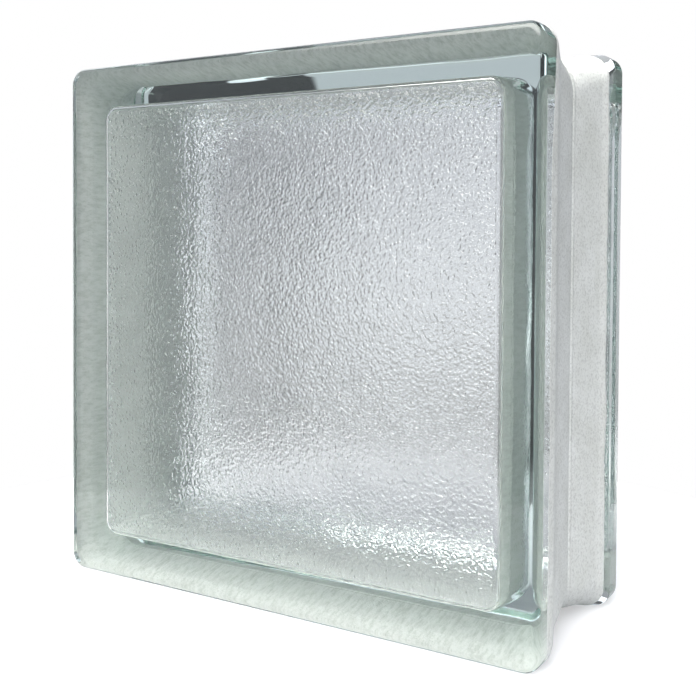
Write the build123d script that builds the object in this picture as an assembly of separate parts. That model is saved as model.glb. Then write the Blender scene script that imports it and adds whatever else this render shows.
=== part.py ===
"""Hollow glass block, 197 x 197 x 79 mm, for a wall laid on an 8 inch module.

Two pressed glass half shells are fused together at mid depth, which
seals the air space between the two faces.  A white bonding coat covers
the shallow mortar channel round the edge.  It reaches the flange of the
front face, and stops on the slope below the flange of the rear face.

Frame: +Z up, the front face looks toward -Y, the block stands on its
bottom edge at Z = 0 and is centred on X = 0 and Y = 0.
Everything is in millimetres.
"""

import os

from build123d import *

# Block
BLOCK_SIZE = 197.0
BLOCK_DEPTH = 79.0

# Edge flanges of the two faces
FACE_ROUNDING = 2.6
FLANGE_DEPTH = 10.0
FLANGE_CORNER = 6.2
SHOULDER_ROUNDING = 4.0

# Mortar channel between the flanges
SLOPE_DEPTH = 8.7
CHANNEL_RECESS = 2.4
CHANNEL_DRAFT = 2.95
CHANNEL_CORNER_AT_SLOPE = 9.4
CHANNEL_CORNER_AT_SEAM = 11.5
CHANNEL_ROOT_FILLET = 8.0

# Fused seam
BEAD_HEIGHT = 0.45
BEAD_HALF_WIDTH = 1.1

# Glass walls round the air space
PLATE_THICKNESS = 7.0
WALL_AT_SEAM = 7.6
CAVITY_DRAFT = 2.0
CAVITY_CORNER_AT_PLATE = 5.6
CAVITY_CORNER_AT_SEAM = 7.4
CAVITY_FLOOR_FILLET = 2.5

# White coat of the channel
COAT_THICKNESS = 0.4
COAT_STOP_AT_FRONT = 0.1
COAT_STOP_AT_REAR = 1.15

# Derived sizes
HALF = BLOCK_SIZE / 2.0
MID_HEIGHT = HALF
FACE_Y = -BLOCK_DEPTH / 2.0
CAVITY_Y = FACE_Y + PLATE_THICKNESS
SHOULDER_Y = FACE_Y + FLANGE_DEPTH
ROOT_Y = SHOULDER_Y + SLOPE_DEPTH
ROOT_HALF = HALF - CHANNEL_RECESS
SEAM_HALF = ROOT_HALF - CHANNEL_DRAFT
CAVITY_HALF_AT_SEAM = SEAM_HALF - WALL_AT_SEAM
CAVITY_HALF_AT_PLATE = CAVITY_HALF_AT_SEAM - CAVITY_DRAFT


def rounded_square(y, half, corner):
    """A square with rounded corners, standing in the plane at this Y."""
    plane = Plane(origin=(0, y, MID_HEIGHT), x_dir=(1, 0, 0), z_dir=(0, 1, 0))
    return plane * RectangleRounded(2 * half, 2 * half, corner)


def ruled(*sections):
    """A solid with straight sides through sections of (y, half, corner)."""
    return loft([rounded_square(*section) for section in sections], ruled=True)


def edges_at(solid, y, half):
    """The edge loop round the block that lies at this Y and half width."""
    found = []
    for edge in solid.edges():
        box = edge.bounding_box()
        if abs(box.min.Y - y) > 1e-4 or abs(box.max.Y - y) > 1e-4:
            continue
        reach = max(
            abs(box.min.X),
            abs(box.max.X),
            abs(box.min.Z - MID_HEIGHT),
            abs(box.max.Z - MID_HEIGHT),
        )
        if abs(reach - half) < 1e-3:
            found.append(edge)
    return found


def shell_outside():
    """Outer form of the front half, from the face back to the seam."""
    flange = ruled(
        (FACE_Y, HALF, FLANGE_CORNER),
        (SHOULDER_Y, HALF, FLANGE_CORNER),
    )
    slope = ruled(
        (SHOULDER_Y, HALF, FLANGE_CORNER),
        (ROOT_Y, ROOT_HALF, CHANNEL_CORNER_AT_SLOPE),
    )
    channel = ruled(
        (ROOT_Y, ROOT_HALF, CHANNEL_CORNER_AT_SLOPE),
        (0.0, SEAM_HALF, CHANNEL_CORNER_AT_SEAM),
    )
    body = flange + slope + channel
    body = fillet(edges_at(body, ROOT_Y, ROOT_HALF), CHANNEL_ROOT_FILLET)
    body = fillet(edges_at(body, SHOULDER_Y, HALF), SHOULDER_ROUNDING)
    body = fillet(edges_at(body, FACE_Y, HALF), FACE_ROUNDING)
    return body


def seam_bead(extra=0.0):
    """The low swell of glass squeezed out along the fused seam."""
    foot = BEAD_HALF_WIDTH + extra
    half = SEAM_HALF + extra
    corner = CHANNEL_CORNER_AT_SEAM + extra
    return ruled(
        (-foot, half - 0.05, corner),
        (-foot * 0.62, half + BEAD_HEIGHT * 0.7, corner + BEAD_HEIGHT * 0.7),
        (-foot * 0.25, half + BEAD_HEIGHT, corner + BEAD_HEIGHT),
        (0.0, half + BEAD_HEIGHT, corner + BEAD_HEIGHT),
    )


def cavity():
    """The air space inside the front half."""
    space = ruled(
        (CAVITY_Y, CAVITY_HALF_AT_PLATE, CAVITY_CORNER_AT_PLATE),
        (0.0, CAVITY_HALF_AT_SEAM, CAVITY_CORNER_AT_SEAM),
    )
    floor_edges = edges_at(space, CAVITY_Y, CAVITY_HALF_AT_PLATE)
    return fillet(floor_edges, CAVITY_FLOOR_FILLET)


def coat_outside(stop):
    """Outer form of the coat on the front half, ending this far below the flange."""
    run = (SLOPE_DEPTH**2 + CHANNEL_RECESS**2) ** 0.5
    shift_y = COAT_THICKNESS * CHANNEL_RECESS / run
    shift_half = COAT_THICKNESS * SLOPE_DEPTH / run
    stop_half = HALF - stop
    root_half = ROOT_HALF + COAT_THICKNESS
    pitch = SLOPE_DEPTH / CHANNEL_RECESS
    base_y = ROOT_Y + shift_y
    base_half = ROOT_HALF + shift_half
    stop_y = base_y - (stop_half - base_half) * pitch
    root_y = base_y - (root_half - base_half) * pitch
    share = (ROOT_Y - stop_y) / SLOPE_DEPTH
    stop_corner = CHANNEL_CORNER_AT_SLOPE - share * (CHANNEL_CORNER_AT_SLOPE - FLANGE_CORNER)
    slope = ruled(
        (stop_y, stop_half, stop_corner + COAT_THICKNESS),
        (root_y, root_half, CHANNEL_CORNER_AT_SLOPE + COAT_THICKNESS),
    )
    channel = ruled(
        (root_y, root_half, CHANNEL_CORNER_AT_SLOPE + COAT_THICKNESS),
        (0.0, SEAM_HALF + COAT_THICKNESS, CHANNEL_CORNER_AT_SEAM + COAT_THICKNESS),
    )
    body = slope + channel
    return fillet(edges_at(body, root_y, root_half), CHANNEL_ROOT_FILLET - COAT_THICKNESS)


outside = shell_outside() + seam_bead()
front_shell = outside - cavity()
rear_shell = mirror(front_shell, about=Plane.XZ)

bead_skin = seam_bead(COAT_THICKNESS)
front_coat = coat_outside(COAT_STOP_AT_FRONT) + bead_skin - outside
rear_coat = coat_outside(COAT_STOP_AT_REAR) + bead_skin - outside
edge_coating = front_coat + mirror(rear_coat, about=Plane.XZ)

os.makedirs("parts", exist_ok=True)
for name, solid in (
    ("front_shell", front_shell),
    ("rear_shell", rear_shell),
    ("edge_coating", edge_coating),
):
    solid.label = name
    export_step(solid, "parts/" + name + ".step")
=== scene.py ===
"""Looks of a square hollow glass block, 197 x 197 x 79 mm, with a pebbled inside and a white edge coat."""

import math

import bpy
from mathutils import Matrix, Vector, noise


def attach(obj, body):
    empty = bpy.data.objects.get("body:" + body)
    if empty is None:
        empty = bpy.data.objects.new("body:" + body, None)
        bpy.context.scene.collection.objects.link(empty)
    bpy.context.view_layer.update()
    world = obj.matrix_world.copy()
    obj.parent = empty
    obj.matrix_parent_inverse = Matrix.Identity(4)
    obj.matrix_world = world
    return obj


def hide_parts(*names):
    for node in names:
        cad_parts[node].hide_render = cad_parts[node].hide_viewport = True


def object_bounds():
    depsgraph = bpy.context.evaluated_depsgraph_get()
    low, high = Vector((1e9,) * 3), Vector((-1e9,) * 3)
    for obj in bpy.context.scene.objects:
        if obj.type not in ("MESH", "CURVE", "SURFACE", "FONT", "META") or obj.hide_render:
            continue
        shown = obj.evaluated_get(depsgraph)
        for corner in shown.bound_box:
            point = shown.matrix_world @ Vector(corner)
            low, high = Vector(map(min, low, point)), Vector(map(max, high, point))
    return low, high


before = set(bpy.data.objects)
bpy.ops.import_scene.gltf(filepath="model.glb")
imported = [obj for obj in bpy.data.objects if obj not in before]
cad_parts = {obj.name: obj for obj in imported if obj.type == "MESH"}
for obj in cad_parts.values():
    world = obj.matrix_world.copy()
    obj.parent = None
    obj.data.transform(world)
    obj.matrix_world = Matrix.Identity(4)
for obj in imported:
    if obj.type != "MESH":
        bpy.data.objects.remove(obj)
cad_box = [list(v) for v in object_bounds()]

MM = 0.001

# Sizes in millimetres. The outside is the frame's, and the rest is the same as the part's.
HALF = round((cad_box[1][0] - cad_box[0][0]) / 2 / MM, 2)
FACE_Y = round((cad_box[1][1] - cad_box[0][1]) / 2 / MM, 2)
FACE_ROUNDING = 2.6
FLANGE_DEPTH = 10.0
FLANGE_CORNER = 6.2
SHOULDER_ROUNDING = 4.0
SLOPE_DEPTH = 8.7
CHANNEL_RECESS = 2.4
CHANNEL_DRAFT = 2.95
CORNER_AT_SLOPE = 9.4
CORNER_AT_SEAM = 11.5
ROOT_FILLET = 8.0
BEAD_HEIGHT = 0.45
BEAD_HALF_WIDTH = 1.1
PLATE = 7.0
CAVITY_HALF = 83.55
CAVITY_DRAFT = 2.0
CAVITY_CORNER = 5.6
CAVITY_CORNER_AT_SEAM = 7.4
CAVITY_FILLET = 2.5
COAT = 0.4

# The glass is drawn this far inside the solid's outside, and the coat's inner skin reaches
# this far into the glass, so that no two surfaces lie in one place
COAT_FILM = 0.06
COAT_BITE = 0.03

SHOULDER_Y = FACE_Y - FLANGE_DEPTH
ROOT_Y = SHOULDER_Y - SLOPE_DEPTH
ROOT_HALF = HALF - CHANNEL_RECESS
SEAM_HALF = ROOT_HALF - CHANNEL_DRAFT
SLOPE_ANGLE = math.atan2(CHANNEL_RECESS, SLOPE_DEPTH)
DRAFT_ANGLE = math.atan2(CHANNEL_DRAFT, ROOT_Y)
GLASS_HALF = HALF - COAT_FILM
CAVITY_FLAT_HALF = CAVITY_HALF - CAVITY_FILLET
CAVITY_FLAT_CORNER = CAVITY_CORNER - CAVITY_FILLET

# How finely the rings divide the block: steps round a corner and along a side, then over each bend
ARC_STEPS = 12
OUTSIDE_STEPS = 8
CAVITY_STEPS = 30
COAT_STEPS = 56
FACE_ROUNDING_STEPS = 10
BEND_STEPS = 4
SLOPE_STEPS = 5
CAVITY_FILLET_STEPS = 7
PLATE_RINGS = 36

# Rings that hold a flat or a wall straight beside a bend
FACE_INSETS = (0.9, 0.35)
FLANGE_MARGIN = 0.4
CHANNEL_RINGS = (ROOT_Y - 3.5, ROOT_Y / 2, 5.0, BEAD_HALF_WIDTH + 0.7)
CAVITY_WALL_SHARES = (0.35, 0.6, 0.8, 0.93, 1.0)

# The seam bead from its foot to its crest, as shares of its half width and of its height
BEAD_SHAPE = ((1.0, 0.1), (0.8, 0.42), (0.55, 0.75), (0.25, 0.96), (0.0, 1.0))

# The pebbles inside: their depth on the walls as a share of the plates', and how much deeper
# they grow in a band along each plate's edge
WALL_PEBBLES = 0.06
PEBBLE_RIM = 17.0
REAR_RIM_GAIN = 0.8
FRONT_RIM_GAIN = 0.2

# The coat's brushed edge: its depth at the rear, on the front flange's sides and on its top,
# and how far it wanders, slowly and finely, per millimetre of way round the block
REAR_EDGE = 25.6
SIDE_EDGE = 32.9
TOP_EDGE = 32.4
REAR_WANDER = 0.9
FRONT_WANDER = 0.8
SLOW_PER_MM = 0.05
FINE_PER_MM = 0.3
FINE_SHARE = 0.35

# Where less of the front flange is coated: along its top, and high on its right side
BARE = 2.6
BARE_WANDER = 1.2
TOP_BAND = 4.0
TOP_BARE_FROM, TOP_BARE_RISE = -78.0, 40.0
TOP_BARE_TO, TOP_BARE_FALL = 84.0, 9.0
SIDE_BARE_FROM, SIDE_BARE_RISE = 60.0, 30.0

# How the coat thins to its edge, and the shares of the way over which its rings straighten
FRONT_TAPER, REAR_TAPER = 0.3, 0.5
FRONT_STRAIGHT, REAR_STRAIGHT = SHOULDER_Y + 1.2, 23.6
STRAIGHTENING = (0.0, 0.08, 0.25, 0.6, 1.0)
RELIEF_MARGIN = 0.7


# Colours and nodes

def linear(code):
    """A linear RGBA from a hex sRGB code such as 'e8e6e0'."""
    out = []
    for i in (0, 2, 4):
        c = int(code[i:i + 2], 16) / 255.0
        out.append(c / 12.92 if c <= 0.04045 else ((c + 0.055) / 1.055) ** 2.4)
    return (*out, 1.0)


def add(tree, kind, inputs=None, ramp=(), **settings):
    """Adds a node, sets its settings and colour ramp, and fills its inputs with values or links."""
    node = tree.nodes.new(kind)
    for key, value in settings.items():
        setattr(node, key, value)
    for key, value in (inputs or {}).items():
        if isinstance(value, bpy.types.NodeSocket):
            tree.links.new(value, node.inputs[key])
        else:
            node.inputs[key].default_value = value
    for i, (position, code) in enumerate(ramp):
        node.color_ramp.elements[i].position = position
        node.color_ramp.elements[i].color = linear(code)
    return node


def new_material(name):
    mat = bpy.data.materials.new(name)
    mat.use_nodes = True
    mat.node_tree.nodes.clear()
    return mat, mat.node_tree


def scale_of(size):
    """The scale that gives a pattern this real size in mm, on coordinates in metres."""
    return 1.0 / (size * MM)


def clamp(value):
    return min(1.0, max(0.0, value))


# Rings round the block: the block's own sections at one depth

def ring_slots(sides):
    """Where each point of a ring lies: (quarter, share of the corner arc, share of the side)."""
    out = []
    for q in range(4):
        out += [(q, i / ARC_STEPS, 0.0) for i in range(ARC_STEPS + 1)]
        out += [(q, 1.0, i / sides) for i in range(1, sides)]
    return out


def ring_point(slot, y, half, corner):
    """One point of a rounded square of this half width and corner, at depth y, in mm."""
    q, arc, side = slot
    corner = max(min(corner, half * 0.98), 0.05)
    reach = half - corner
    a = math.pi / 2 * (q + arc)
    x = reach * (1 if q in (0, 3) else -1) + corner * math.cos(a)
    z = reach * (1 if q in (0, 1) else -1) + corner * math.sin(a)
    if side:
        length = 2 * reach * side
        x -= length * math.sin(a)
        z += length * math.cos(a)
    return (x, y, z)


def slope_corner(y):
    """Corner radius of the outside at depth y (positive, toward a face)."""
    if y >= SHOULDER_Y:
        return FLANGE_CORNER
    if y >= ROOT_Y:
        k = (SHOULDER_Y - y) / SLOPE_DEPTH
        return FLANGE_CORNER + k * (CORNER_AT_SLOPE - FLANGE_CORNER)
    k = 1 - y / ROOT_Y
    return CORNER_AT_SLOPE + k * (CORNER_AT_SEAM - CORNER_AT_SLOPE)


def outside_profile():
    """(y, half, corner) of the glass from the face to the seam, y positive."""
    out = []
    flat_half = GLASS_HALF - FACE_ROUNDING
    for inset in FACE_INSETS:
        out.append((FACE_Y, flat_half - inset, FLANGE_CORNER - FACE_ROUNDING - inset / 2))
    for i in range(FACE_ROUNDING_STEPS + 1):
        t = math.pi / 2 * i / FACE_ROUNDING_STEPS
        half = flat_half + FACE_ROUNDING * math.sin(t)
        corner = FLANGE_CORNER - (GLASS_HALF - half)
        out.append((FACE_Y - FACE_ROUNDING * (1 - math.cos(t)), half, corner))

    rounding_y = FACE_Y - FACE_ROUNDING
    reach = SHOULDER_ROUNDING * math.tan(SLOPE_ANGLE / 2)
    for y in (rounding_y - FLANGE_MARGIN, (rounding_y + SHOULDER_Y) / 2, SHOULDER_Y + reach + FLANGE_MARGIN):
        out.append((y, GLASS_HALF, FLANGE_CORNER))
    for i in range(BEND_STEPS + 1):
        a = SLOPE_ANGLE * i / BEND_STEPS
        y = SHOULDER_Y + reach - SHOULDER_ROUNDING * math.sin(a)
        half = GLASS_HALF - SHOULDER_ROUNDING * (1 - math.cos(a))
        out.append((y, half, slope_corner(y)))
    for i in range(1, SLOPE_STEPS):
        k = i / SLOPE_STEPS
        y = SHOULDER_Y - k * SLOPE_DEPTH
        out.append((y, GLASS_HALF - k * CHANNEL_RECESS, slope_corner(y)))

    turn = SLOPE_ANGLE - DRAFT_ANGLE
    reach = ROOT_FILLET * math.tan(turn / 2)
    start_y = ROOT_Y + reach * math.cos(SLOPE_ANGLE)
    start_half = ROOT_HALF + reach * math.sin(SLOPE_ANGLE)
    for i in range(BEND_STEPS + 1):
        a = SLOPE_ANGLE - turn * i / BEND_STEPS
        y = start_y - ROOT_FILLET * (math.sin(SLOPE_ANGLE) - math.sin(a))
        half = start_half - ROOT_FILLET * (math.cos(a) - math.cos(SLOPE_ANGLE))
        out.append((y, half - COAT_FILM, slope_corner(y)))
    for y in CHANNEL_RINGS:
        out.append((y, SEAM_HALF + CHANNEL_DRAFT * y / ROOT_Y - COAT_FILM, slope_corner(y)))
    for out_share, height_share in BEAD_SHAPE:
        rise = BEAD_HEIGHT * height_share
        out.append((BEAD_HALF_WIDTH * out_share, SEAM_HALF + rise - COAT_FILM, CORNER_AT_SEAM + rise))
    return out


def inside_profile():
    """(y, half, corner) of the air space from the plate's middle to the seam, y positive."""
    floor_y = FACE_Y - PLATE
    wall_y = floor_y - CAVITY_FILLET
    out = []
    for i in range(1, PLATE_RINGS + 1):
        half = CAVITY_FLAT_HALF * i / PLATE_RINGS
        out.append((floor_y, half, min(CAVITY_FLAT_CORNER, half * 0.6)))
    for i in range(1, CAVITY_FILLET_STEPS + 1):
        t = math.pi / 2 * i / CAVITY_FILLET_STEPS
        y = floor_y - CAVITY_FILLET * (1 - math.cos(t))
        half = CAVITY_FLAT_HALF + CAVITY_FILLET * math.sin(t) + CAVITY_DRAFT * (1 - y / floor_y) * 0.5
        out.append((y, half, CAVITY_FLAT_CORNER + CAVITY_FILLET * math.sin(t)))
    for k in CAVITY_WALL_SHARES:
        y = wall_y * (1 - k)
        half = CAVITY_HALF + CAVITY_DRAFT * (1 - y / floor_y)
        out.append((y, half, CAVITY_CORNER + k * (CAVITY_CORNER_AT_SEAM - CAVITY_CORNER)))
    return out


def both_halves(profile):
    """A profile of one half, carried on over the seam to the other face."""
    front = [(-y, half, corner) for y, half, corner in profile]
    rear = [section for section in reversed(profile) if section[0] > 1e-6]
    return front + rear


OUTSIDE = outside_profile()
SIDE = [section for section in OUTSIDE if section[0] < FACE_Y - FACE_ROUNDING + 0.01]


def glass_section(y):
    """Half width and corner of the glass at depth y, read off the side's profile."""
    if y >= SIDE[0][0]:
        return SIDE[0][1], SIDE[0][2]
    for (y1, half1, corner1), (y0, half0, corner0) in zip(SIDE, SIDE[1:]):
        if y1 >= y >= y0:
            k = (y1 - y) / (y1 - y0)
            return half1 + k * (half0 - half1), corner1 + k * (corner0 - corner1)
    return SIDE[-1][1], SIDE[-1][2]


class RingStack:
    """Collects rings into one mesh, in metres, with the block standing on Z = 0."""

    def __init__(self):
        self.verts = []
        self.faces = []

    def add_ring(self, points):
        first = len(self.verts)
        for x, y, z in points:
            self.verts.append((x * MM, y * MM, (z + HALF) * MM))
        return list(range(first, first + len(points)))

    def join(self, a, b, flip=False):
        """A band of quads between two rings."""
        count = len(a)
        for i in range(count):
            j = (i + 1) % count
            quad = (a[i], a[j], b[j], b[i])
            self.faces.append(quad[::-1] if flip else quad)

    def close(self, rings, inward=False):
        """Joins rings in order, from front to rear, and caps both ends."""
        first, last = rings[0], rings[-1]
        self.faces.append(tuple(first[::-1] if inward else first))
        for a, b in zip(rings, rings[1:]):
            self.join(a, b, flip=not inward)
        self.faces.append(tuple(last if inward else last[::-1]))

    def mesh(self, name, **shares):
        """The mesh, with one number per point for each named share."""
        mesh = bpy.data.meshes.new(name)
        mesh.from_pydata(self.verts, [], self.faces)
        mesh.update()
        mesh.shade_smooth()
        for key, values in shares.items():
            mesh.attributes.new(key, "FLOAT", "POINT").data.foreach_set("value", values)
        return mesh


def make_object(name, mesh):
    ob = bpy.data.objects.new(name, mesh)
    bpy.context.scene.collection.objects.link(ob)
    return ob


# Relief that follows a surface: Geometry Nodes lift each point along its normal
# by noise, as far as the point's "relief" attribute lets it.

def relief_tree():
    tree = bpy.data.node_groups.new("surface_relief", "GeometryNodeTree")
    sockets = tree.interface
    sockets.new_socket("Geometry", in_out="INPUT", socket_type="NodeSocketGeometry")
    sockets.new_socket("Relief Height", in_out="INPUT", socket_type="NodeSocketFloat")
    sockets.new_socket("Lumps Per Metre", in_out="INPUT", socket_type="NodeSocketFloat")
    sockets.new_socket("Finish", in_out="INPUT", socket_type="NodeSocketMaterial")
    sockets.new_socket("Geometry", in_out="OUTPUT", socket_type="NodeSocketGeometry")
    given = add(tree, "NodeGroupInput").outputs
    place = add(tree, "GeometryNodeInputPosition").outputs[0]
    lumps = add(tree, "ShaderNodeTexNoise",
                {"Vector": place, "Scale": given["Lumps Per Metre"], "Detail": 1.0, "Roughness": 0.5})
    centred = add(tree, "ShaderNodeMath", {0: lumps.outputs[0], 1: 0.5}, operation="SUBTRACT")
    allowed = add(tree, "GeometryNodeInputNamedAttribute", {"Name": "relief"}, data_type="FLOAT")
    share = add(tree, "ShaderNodeMath",
                {0: centred.outputs[0], 1: allowed.outputs[0]}, operation="MULTIPLY")
    height = add(tree, "ShaderNodeMath",
                 {0: share.outputs[0], 1: given["Relief Height"]}, operation="MULTIPLY")
    normal = add(tree, "GeometryNodeInputNormal").outputs[0]
    lift = add(tree, "ShaderNodeVectorMath", {0: normal, "Scale": height.outputs[0]}, operation="SCALE")
    moved = add(tree, "GeometryNodeSetPosition", {"Geometry": given["Geometry"], "Offset": lift.outputs[0]})
    real = add(tree, "GeometryNodeRealizeInstances", {"Geometry": moved.outputs[0]})
    finished = add(tree, "GeometryNodeSetMaterial",
                   {"Geometry": real.outputs[0], "Material": given["Finish"]})
    add(tree, "NodeGroupOutput", {0: finished.outputs[0]})
    return tree


def with_relief(ob, height, lump, mat):
    """Applies the relief tree to a piece, as a plain mesh. Height and lump size are in mm."""
    tree = bpy.data.node_groups.get("surface_relief") or relief_tree()
    values = {"Relief Height": height * MM, "Lumps Per Metre": scale_of(lump), "Finish": mat}
    mod = ob.modifiers.new("relief", "NODES")
    mod.node_group = tree
    for item in tree.interface.items_tree:
        if item.in_out == "INPUT" and item.name in values:
            mod[item.identifier] = values[item.name]
    graph = bpy.context.evaluated_depsgraph_get()
    mesh = bpy.data.meshes.new_from_object(
        ob.evaluated_get(graph), preserve_all_data_layers=True, depsgraph=graph)
    ob.modifiers.remove(mod)
    mesh.name = ob.name
    ob.data = mesh
    return ob


# Clear pressed glass: soda-lime glass pressed hot into a steel mould. It is clear
# and slightly green through its thickness, with slow waves that bend what is seen
# through it, fire-polished outside and finely pebbled inside, which scatters the
# view behind it into small bright and dark dots.

GLASS_PEBBLE, GLASS_PEBBLE_DEPTH = 1.0, 0.28
GLASS_WAVE, GLASS_WAVE_DEPTH = 22.22, 0.25


def glass_material():
    mat, tree = new_material("clear_pressed_glass")
    coord = add(tree, "ShaderNodeTexCoord").outputs["Object"]
    pebbled = add(tree, "ShaderNodeAttribute", attribute_name="pebbled").outputs["Fac"]
    pebbles = add(tree, "ShaderNodeTexNoise",
                  {"Vector": coord, "Scale": scale_of(GLASS_PEBBLE), "Detail": 0.0, "Roughness": 0.5,
                   "Distortion": 0.3})
    pebble_height = add(tree, "ShaderNodeMath",
                        {0: pebbles.outputs["Fac"], 1: pebbled}, operation="MULTIPLY")
    pebble_bump = add(tree, "ShaderNodeBump",
                      {"Strength": 1.0, "Distance": GLASS_PEBBLE_DEPTH * MM,
                       "Height": pebble_height.outputs[0]})
    waves = add(tree, "ShaderNodeTexNoise",
                {"Vector": coord, "Scale": scale_of(GLASS_WAVE), "Detail": 1.0, "Roughness": 0.5})
    wave_bump = add(tree, "ShaderNodeBump",
                    {"Strength": 1.0, "Distance": GLASS_WAVE_DEPTH * MM, "Height": waves.outputs["Fac"],
                     "Normal": pebble_bump.outputs["Normal"]})
    shader = add(tree, "ShaderNodeBsdfPrincipled",
                 {"Base Color": (1.0, 1.0, 1.0, 1.0), "Roughness": 0.0, "IOR": 1.52,
                  "Transmission Weight": 1.0, "Normal": wave_bump.outputs["Normal"]})
    volume = add(tree, "ShaderNodeVolumeAbsorption",
                 {"Color": (0.73, 0.85, 0.815, 1.0), "Density": 14.0})
    add(tree, "ShaderNodeOutputMaterial",
        {"Surface": shader.outputs["BSDF"], "Volume": volume.outputs["Volume"]})
    return mat


# White bonding coat: a polymer paint with fine sand, brushed or dipped onto the
# channel so that mortar holds to it. It is matt and thin, greyer where it is dusty,
# and grainy outside. Real grains are about 0.3 mm, too fine to show in the render,
# so they are drawn near 1 mm. Where the coat is seen through the glass, on its
# bonded side, it shows as long white brush strokes along the block's depth. That
# side is also painted lighter than the outside: painted light, which makes up for
# the light that the glass keeps from the paint.

COAT_BLOTCH = 16.67
COAT_SAND = 0.909
COAT_GRIT, COAT_GRIT_DEPTH = 0.769, 0.22
COAT_RUN, COAT_RUN_DEPTH = 6.25, 0.3
STROKE_WIDTH, STROKE_LENGTH = 1.389, 20.0


def coat_material():
    mat, tree = new_material("white_bonding_coat")
    coord = add(tree, "ShaderNodeTexCoord").outputs["Object"]

    blotch = add(tree, "ShaderNodeTexNoise",
                 {"Vector": coord, "Scale": scale_of(COAT_BLOTCH), "Detail": 8.0, "Roughness": 0.7})
    tint = add(tree, "ShaderNodeValToRGB",
               {"Fac": blotch.outputs["Fac"]}, ramp=((0.36, "d8dbd7"), (0.66, "e6e9e7")))
    sand = add(tree, "ShaderNodeTexNoise",
               {"Vector": coord, "Scale": scale_of(COAT_SAND), "Detail": 2.0, "Roughness": 0.6})
    grain = add(tree, "ShaderNodeMapRange",
                {"Value": sand.outputs["Fac"], "From Min": 0.34, "From Max": 0.52,
                 "To Min": 0.80, "To Max": 1.0})
    sanded = add(tree, "ShaderNodeVectorMath",
                 {0: tint.outputs["Color"], "Scale": grain.outputs[0]}, operation="SCALE")

    across, along = scale_of(STROKE_WIDTH), scale_of(STROKE_LENGTH)
    stroke_way = add(tree, "ShaderNodeVectorMath",
                     {0: coord, 1: (across, along, across)}, operation="MULTIPLY")
    strokes = add(tree, "ShaderNodeTexNoise",
                  {"Vector": stroke_way.outputs[0], "Scale": 1.0, "Detail": 8.0, "Roughness": 0.75})
    # Real brush strokes on the bonded side, in colours painted lighter than the outside's as painted light
    # under the glass
    brushed_with_painted_light = add(tree, "ShaderNodeValToRGB",
                  {"Fac": strokes.outputs["Fac"]}, ramp=((0.36, "dcdfda"), (0.56, "f8f9f7")))
    bonded = add(tree, "ShaderNodeAttribute", attribute_name="bonded").outputs["Fac"]
    paint = add(tree, "ShaderNodeMix",
                {"Factor": bonded, 6: sanded.outputs[0], 7: brushed_with_painted_light.outputs["Color"]}, data_type="RGBA")

    grit = add(tree, "ShaderNodeTexNoise",
               {"Vector": coord, "Scale": scale_of(COAT_GRIT), "Detail": 3.0, "Roughness": 0.6})
    grit_bump = add(tree, "ShaderNodeBump",
                    {"Strength": 1.0, "Distance": COAT_GRIT_DEPTH * MM, "Height": grit.outputs["Fac"]})
    runs = add(tree, "ShaderNodeTexNoise",
               {"Vector": coord, "Scale": scale_of(COAT_RUN), "Detail": 2.0, "Roughness": 0.5})
    run_bump = add(tree, "ShaderNodeBump",
                   {"Strength": 0.5, "Distance": COAT_RUN_DEPTH * MM, "Height": runs.outputs["Fac"],
                    "Normal": grit_bump.outputs["Normal"]})
    shader = add(tree, "ShaderNodeBsdfPrincipled",
                 {"Base Color": paint.outputs[2], "Roughness": 0.85,
                  "Specular IOR Level": 0.3, "Normal": run_bump.outputs["Normal"]})
    add(tree, "ShaderNodeOutputMaterial", {"Surface": shader.outputs["BSDF"]})
    return mat


# The block's two pieces

GLASS_RELIEF, GLASS_LUMP = 0.4, 18.18
COAT_RELIEF, COAT_LUMP = 0.45, 7.143


def make_glass():
    """The fused shells: one skin outside, and one round the air space that faces inward."""
    stack = RingStack()
    slots = ring_slots(OUTSIDE_STEPS)
    outer = []
    for section in both_halves(OUTSIDE):
        outer.append(stack.add_ring([ring_point(slot, *section) for slot in slots]))
    stack.close(outer)
    pebbled = [0.0] * len(stack.verts)
    relief = [0.0] * len(stack.verts)

    slots = ring_slots(CAVITY_STEPS)
    inner = []
    for y, half, corner in both_halves(inside_profile()):
        inner.append(stack.add_ring([ring_point(slot, y, half, corner) for slot in slots]))
        depth, lift = WALL_PEBBLES, 0.0
        if half < CAVITY_FLAT_HALF + 0.01 and abs(y) > FACE_Y - PLATE - 0.01:
            inset = (CAVITY_FLAT_HALF - half) / PEBBLE_RIM
            rim = max(0.0, 1.0 - inset)
            depth = 1.0 + (REAR_RIM_GAIN * min(1.0, rim * 3.0) if y > 0 else FRONT_RIM_GAIN * rim)
            lift = min(1.0, inset * 1.4)
        pebbled += [depth] * len(slots)
        relief += [lift] * len(slots)
    stack.close(inner, inward=True)
    mesh = stack.mesh("fused_glass_body", pebbled=pebbled, relief=relief)
    ob = make_object("fused_glass_body", mesh)
    return with_relief(ob, GLASS_RELIEF, GLASS_LUMP, glass_material())


def coat_edge(slot, front):
    """The depth where the coat's brushed edge ends, as a positive y."""
    x, _, z = ring_point(slot, 0.0, HALF, FLANGE_CORNER)
    slow_row, fine_row = (3.0, 5.0) if front else (9.0, 1.0)
    wander = noise.noise(Vector((x * SLOW_PER_MM, slow_row, z * SLOW_PER_MM)))
    wander += FINE_SHARE * noise.noise(Vector((x * FINE_PER_MM, fine_row, z * FINE_PER_MM)))
    if not front:
        return REAR_EDGE + REAR_WANDER * wander
    if z > HALF - TOP_BAND:
        left = clamp((x - TOP_BARE_FROM) / TOP_BARE_RISE)
        middle = left * clamp((TOP_BARE_TO - x) / TOP_BARE_FALL)
        middle = middle * middle * (3 - 2 * middle)
        return TOP_EDGE + FRONT_WANDER * wander - middle * (BARE + BARE_WANDER * wander)
    high = clamp((z - SIDE_BARE_FROM) / SIDE_BARE_RISE) if x > 0 else 0.0
    return SIDE_EDGE + FRONT_WANDER * wander - BARE * high


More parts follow.
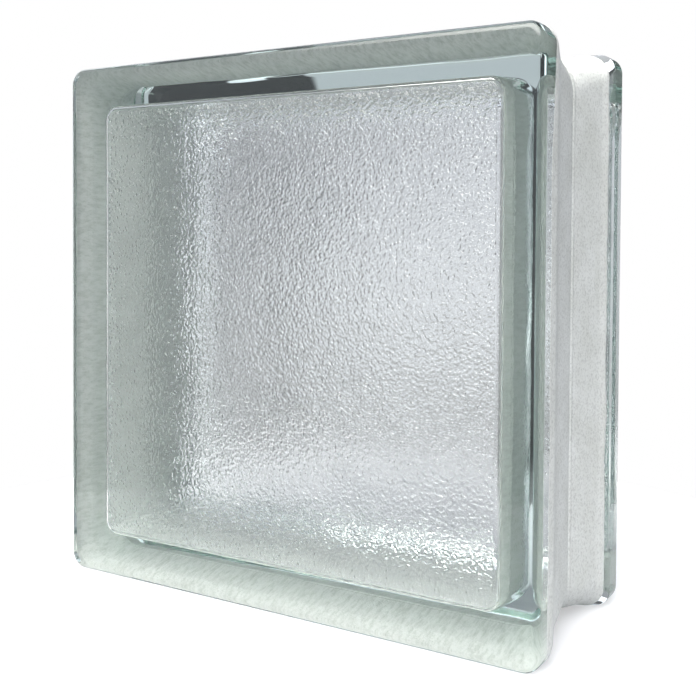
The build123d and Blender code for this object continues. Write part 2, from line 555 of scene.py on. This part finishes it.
def make_coat():
    """The coat's outer skin lies over the glass, and its inner skin bites a little into it."""
    stack = RingStack()
    slots = ring_slots(COAT_STEPS)

    def skin(front, outside):
        """Rings on one half of the block, from the coat's edge to the seam."""
        sign, straight, taper = -1, FRONT_STRAIGHT, FRONT_TAPER
        if not front:
            sign, straight, taper = 1, REAR_STRAIGHT, REAR_TAPER
        edges = [coat_edge(slot, front) for slot in slots]
        rows = [[edge + (straight - edge) * k for edge in edges] for k in STRAIGHTENING]
        rows += [[y] * len(slots) for y, _, _ in OUTSIDE if y < straight]
        if not front:
            rows.pop()
        rings = []
        for row in rows:
            points = []
            for slot, edge, y in zip(slots, edges, row):
                half, corner = glass_section(y)
                up = -COAT_BITE
                if outside:
                    up = min(COAT, HALF - half) * min(1.0, (edge - y) / taper)
                points.append(ring_point(slot, sign * y, half + up, corner + up))
            rings.append(stack.add_ring(points))
        return rings

    outer = skin(True, True) + skin(False, True)[::-1]
    outer_count = len(stack.verts)
    inner = skin(True, False) + skin(False, False)[::-1]
    loop = outer + inner[::-1]
    for a, b in zip(loop, loop[1:] + loop[:1]):
        stack.join(a, b, flip=True)
    bonded = [0.0 if i < outer_count else 1.0 for i in range(len(stack.verts))]
    relief = []
    for i, (x, _, z) in enumerate(stack.verts):
        room = HALF - RELIEF_MARGIN - max(abs(x), abs(z - HALF * MM)) / MM
        relief.append(clamp(room) if i < outer_count else 0.0)
    mesh = stack.mesh("white_edge_coat", bonded=bonded, relief=relief)
    ob = make_object("white_edge_coat", mesh)
    return with_relief(ob, COAT_RELIEF, COAT_LUMP, coat_material())


glass = make_glass()
coat = make_coat()

for piece, slot, nodes in (
    (glass, "front_glass", ("front_shell", "rear_shell")),
    (coat, "white_coat", ("edge_coating",)),
):
    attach(piece, "root")
    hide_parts(*nodes)


# Floor, light and camera, in metres and degrees

FLOOR_RADIUS = 0.22
FLOOR_SIDES = 64
FLOOR_LIFT = 0.45

# The panels round the block: two turns from +Y toward +X, two heights, how soft the edges are
# and how bright the panel is
PANELS = (
    ((-33.5, 0), (-12, 16), 0.4, 0.68),        # backdrop that shows through the window
    ((-38, -36), (-15, 6), 0.5, 1.30),         # narrow upright light beside the backdrop
    ((-37, -2), (-4.4, -2.6), 0.8, 0.60),      # edge of a pale table
    ((-37, -26), (-6.6, -4.4), 0.8, 0.70),     # near part of that table
    ((-70, 60), (23, 60), 6.0, 1.00),          # ceiling behind the block
    ((-68, -54), (-20, 40), 3.0, 2.40),        # tall light at the left
    ((-182, -85), (-12, 50), 16.0, 0.85),      # room in front, left
    ((95, 182), (-12, 40), 16.0, 0.60),        # room in front, right
    ((30, 110), (-25, 50), 30.0, 0.30),        # dim wall at the right
    ((-182, 182), (-85, -15), 8.0, 0.60),      # ground all round
)
ROOM_LEVEL = 0.05

LAMP_WAY = Vector((-0.05, -0.68, 0.73))
LAMP_EDGE, LAMP_CORE = 0.80, 0.97
LAMP_STRENGTH = 10.0

CEILING_LIGHT_PLACE = Vector((0.1, -0.3, 1.0))
CEILING_LIGHT_AIM = Vector((0.0, 0.0, 0.1))
CEILING_LIGHT_SIZE = 0.5
CEILING_LIGHT_WATTS = 1.2

# The photograph's view, fitted to the block's outline
CAMERA_PLACE = (0.20599, -0.32405, 0.13229)
CAMERA_TURN = (88.5275, -0.3301, 31.1735)
CAMERA_LENS = 52.423
CAMERA_SHIFT = (-0.0119, -0.1236)


def make_floor():
    """A pale matt disc, lifted toward white where the camera sees it, so that it keeps the shadow."""
    mat, tree = new_material("pale_studio_floor")
    path = add(tree, "ShaderNodeLightPath")
    matt = add(tree, "ShaderNodeBsdfDiffuse", {"Color": linear("cbccd0")})
    lift = add(tree, "ShaderNodeEmission", {"Color": (1.0, 1.0, 1.0, 1.0), "Strength": FLOOR_LIFT})
    seen = add(tree, "ShaderNodeAddShader", {0: matt.outputs[0], 1: lift.outputs[0]})
    mix = add(tree, "ShaderNodeMixShader",
              {0: path.outputs["Is Camera Ray"], 1: matt.outputs[0], 2: seen.outputs[0]})
    add(tree, "ShaderNodeOutputMaterial", {"Surface": mix.outputs[0]})

    verts = [(0.0, 0.0, 0.0)]
    for i in range(FLOOR_SIDES):
        a = 2 * math.pi * i / FLOOR_SIDES
        verts.append((FLOOR_RADIUS * math.cos(a), FLOOR_RADIUS * math.sin(a), 0.0))
    faces = [(0, 1 + i, 1 + (i + 1) % FLOOR_SIDES) for i in range(FLOOR_SIDES)]
    mesh = bpy.data.meshes.new("studio_floor")
    mesh.from_pydata(verts, [], faces)
    mesh.materials.append(mat)
    make_object("studio_floor", mesh)


def make_world():
    """A studio round the block, white to the camera: soft-edged panels and one lamp in a dim room."""
    world = bpy.data.worlds.new("studio")
    bpy.context.scene.world = world
    world.use_nodes = True
    tree = world.node_tree
    tree.nodes.clear()
    path = add(tree, "ShaderNodeLightPath")
    coord = add(tree, "ShaderNodeTexCoord").outputs["Generated"]
    way = add(tree, "ShaderNodeSeparateXYZ", {0: coord})
    turn = add(tree, "ShaderNodeMath",
               {0: way.outputs["X"], 1: way.outputs["Y"]}, operation="ARCTAN2").outputs[0]
    height = way.outputs["Z"]

    def panel(turns, heights, soft, strength):
        """The strength inside a panel, fading to nothing over its four edges."""
        left, right = (math.radians(v) for v in turns)
        low, high = (math.sin(math.radians(v)) for v in heights)
        half = math.radians(soft) / 2
        share = strength
        for value, dark, bright in (
            (turn, left - half, left + half),
            (turn, right + half, right - half),
            (height, low - half, low + half),
            (height, high + half, high - half),
        ):
            fade = add(tree, "ShaderNodeMapRange",
                       {"Value": value, "From Min": dark, "From Max": bright},
                       interpolation_type="SMOOTHSTEP")
            product = add(tree, "ShaderNodeMath", {0: fade.outputs[0], 1: share}, operation="MULTIPLY")
            share = product.outputs[0]
        return share

    level = ROOM_LEVEL
    for turns, heights, soft, strength in PANELS:
        lit = panel(turns, heights, soft, strength)
        level = add(tree, "ShaderNodeMath", {0: lit, 1: level}, operation="ADD").outputs[0]
    rise = add(tree, "ShaderNodeMapRange",
               {"Value": height, "From Min": -0.25, "From Max": 0.4}, interpolation_type="SMOOTHSTEP")
    tint = add(tree, "ShaderNodeValToRGB",
               {"Fac": rise.outputs[0]}, ramp=((0.0, "eff1f4"), (1.0, "e6eaf5")))
    around = add(tree, "ShaderNodeBackground", {"Color": tint.outputs["Color"], "Strength": level})

    facing = add(tree, "ShaderNodeVectorMath",
                 {0: coord, 1: LAMP_WAY.normalized()}, operation="DOT_PRODUCT")
    glow = add(tree, "ShaderNodeMapRange",
               {"Value": facing.outputs["Value"], "From Min": LAMP_EDGE, "From Max": LAMP_CORE,
                "To Max": LAMP_STRENGTH},
               interpolation_type="SMOOTHSTEP")
    lamp = add(tree, "ShaderNodeBackground", {"Color": linear("fffdf8"), "Strength": glow.outputs[0]})
    both = add(tree, "ShaderNodeAddShader", {0: around.outputs[0], 1: lamp.outputs[0]})
    white = add(tree, "ShaderNodeBackground", {"Color": (1.0, 1.0, 1.0, 1.0), "Strength": 1.0})
    mix = add(tree, "ShaderNodeMixShader",
              {0: path.outputs["Is Camera Ray"], 1: both.outputs[0], 2: white.outputs[0]})
    add(tree, "ShaderNodeOutputWorld", {"Surface": mix.outputs[0]})


def make_ceiling_light():
    data = bpy.data.lights.new("softbox_top", "AREA")
    data.shape = "RECTANGLE"
    data.size = CEILING_LIGHT_SIZE
    data.size_y = CEILING_LIGHT_SIZE
    data.energy = CEILING_LIGHT_WATTS
    ob = make_object("softbox_top", data)
    ob.location = CEILING_LIGHT_PLACE
    ob.rotation_mode = "QUATERNION"
    ob.rotation_quaternion = (CEILING_LIGHT_AIM - CEILING_LIGHT_PLACE).to_track_quat("-Z", "Y")
    ob.visible_camera = False


def make_camera():
    data = bpy.data.cameras.new("camera")
    data.sensor_width = 36.0
    data.lens = CAMERA_LENS
    data.shift_x, data.shift_y = CAMERA_SHIFT
    data.clip_start = 0.01
    ob = make_object("camera", data)
    ob.location = CAMERA_PLACE
    ob.rotation_euler = [math.radians(angle) for angle in CAMERA_TURN]
    bpy.context.scene.camera = ob


make_floor()
make_world()
make_ceiling_light()
make_camera()

scene = bpy.context.scene
scene.view_settings.view_transform = "Standard"
scene.cycles.max_bounces = 32
scene.cycles.transmission_bounces = 32
scene.cycles.glossy_bounces = 12
scene.cycles.diffuse_bounces = 6
